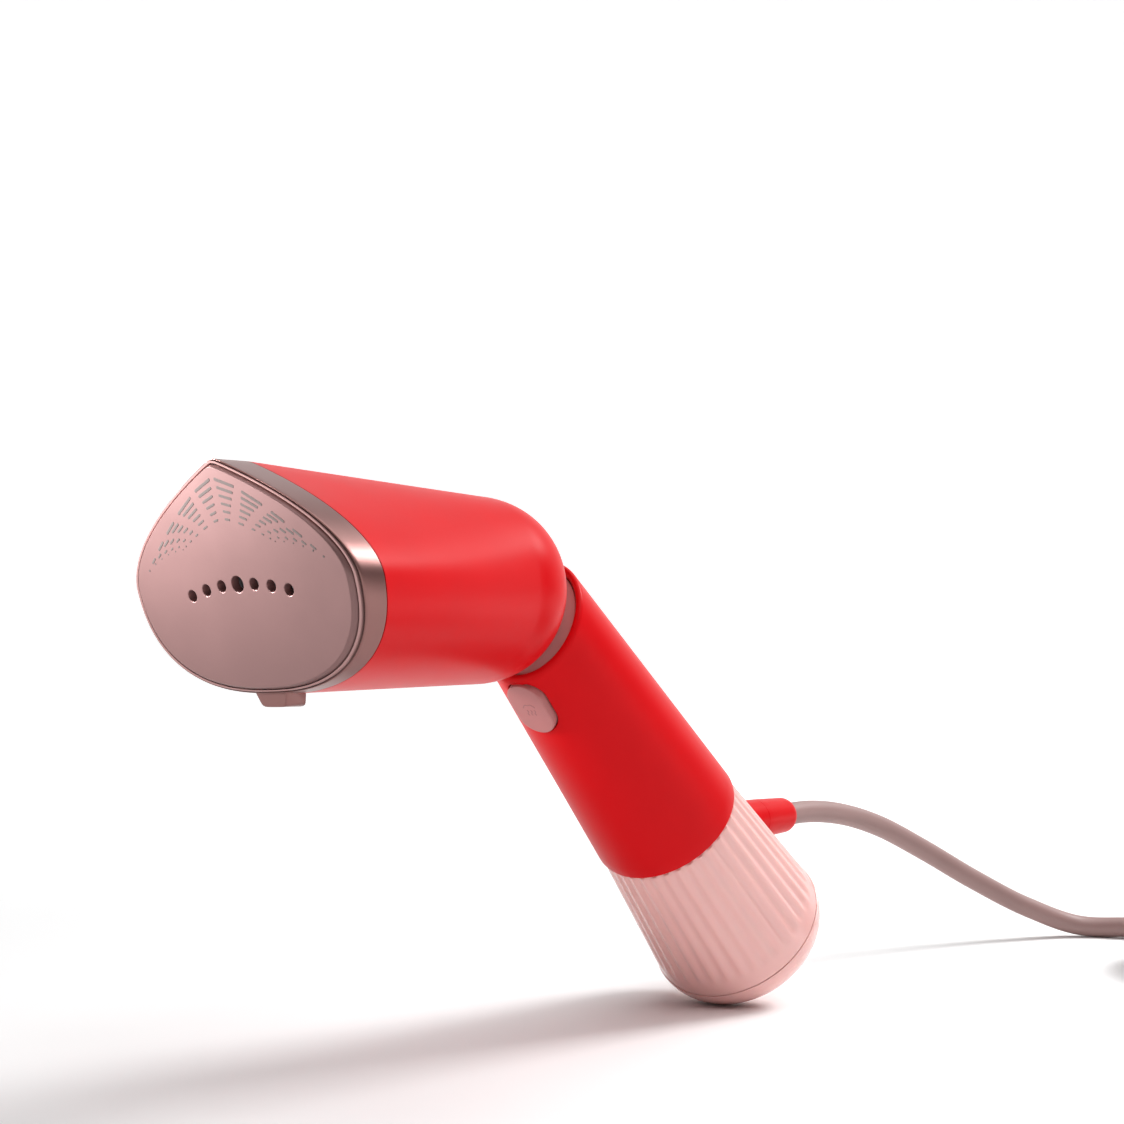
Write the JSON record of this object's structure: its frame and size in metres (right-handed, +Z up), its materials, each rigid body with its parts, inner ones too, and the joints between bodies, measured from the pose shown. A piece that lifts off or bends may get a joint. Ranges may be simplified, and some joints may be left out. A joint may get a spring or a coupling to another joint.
{
  "type": "garment steamer",
  "caption": "Hand-held garment steamer: drop-shaped steam plate on a twisting slanted neck, tapered handle with steam button, ribbed water tank at its foot and a mains cord.",
  "frame": {"origin": "middle of the grip, on the handle's own axis", "axes": "+X across the object, towards its right-hand side as the steam plate is looked at; the steam plate faces -Y; +Z up, with the barrel level"},
  "size_m": [0.228, 0.4243, 0.1638],
  "materials": {
    "housing": "smooth, soft gloss",
    "relief": "moulded, satin",
    "rose_plastic": "smooth, satin",
    "plate": "rose coloured ceramic coat, satin, with fine raised dashes",
    "trim": "smooth",
    "bezel": "rose metallic, satin",
    "tank": "milky translucent, smooth",
    "cast": "as cast",
    "steel": "bright",
    "white_plastic": "moulded",
    "black_plastic": "moulded",
    "silicone": "soft, matt",
    "board": "laminate",
    "cord": "smooth, satin"
  },
  "bodies": {
    "handle": {"handle_housing": "housing", "swivel_collar": "rose_plastic", "button_spring": "steel", "micro_switch": "black_plastic", "inner_frame": "white_plastic", "control_board": "board", "board_relay": "black_plastic", "pump": "black_plastic", "pump_bracket": "steel", "pump_hose": "silicone", "tank_socket": "white_plastic", "intake_hose": "silicone", "tank_seal": "silicone", "mains_lead": "black_plastic", "strain_relief": "relief", "cord_tube": "cord", "cord_coil": "cord", "cord_tie": "black_plastic", "cord_tail": "cord", "plug_body": "cord", "plug_pin_1": "steel", "plug_pin_2": "steel"},
    "head": {"head_housing": "housing", "bezel": "bezel", "plate_trim": "trim", "steam_plate": "plate", "steam_chamber": "cast", "chamber_seal": "silicone", "heating_element": "steel", "thermostat": "black_plastic", "thermal_fuse": "white_plastic", "heat_shield": "white_plastic", "shield_post_1": "steel", "shield_post_2": "steel", "shield_post_3": "steel", "head_hose": "silicone", "swivel_neck": "rose_plastic", "neck_ring": "steel"},
    "button": {"steam_button": "rose_plastic"},
    "tank": {"water_tank": "tank", "tank_base": "tank", "tank_lid": "rose_plastic", "tank_valve": "white_plastic", "fill_plug": "silicone", "tank_filter": "white_plastic"}
  },
  "joints": [
    {"name": "head_swivel", "type": "hinge", "parent": "handle", "child": "head", "pos_m": [0, -0.04424, 0.04228], "axis": [0, 0.9282, -0.3722], "range_deg": [0, 180]},
    {"name": "steam_button_press", "type": "slide", "parent": "handle", "child": "button", "axis": [0, 0.747, 0.6648], "range_m": [0, 0.0018], "stiffness_N_per_m": 1500, "springref_m": -0.0005},
    {"name": "tank_pull", "type": "slide", "parent": "handle", "child": "tank", "axis": [0, 0.723, -0.6909], "range_m": [0, 0.06]}
  ]
}
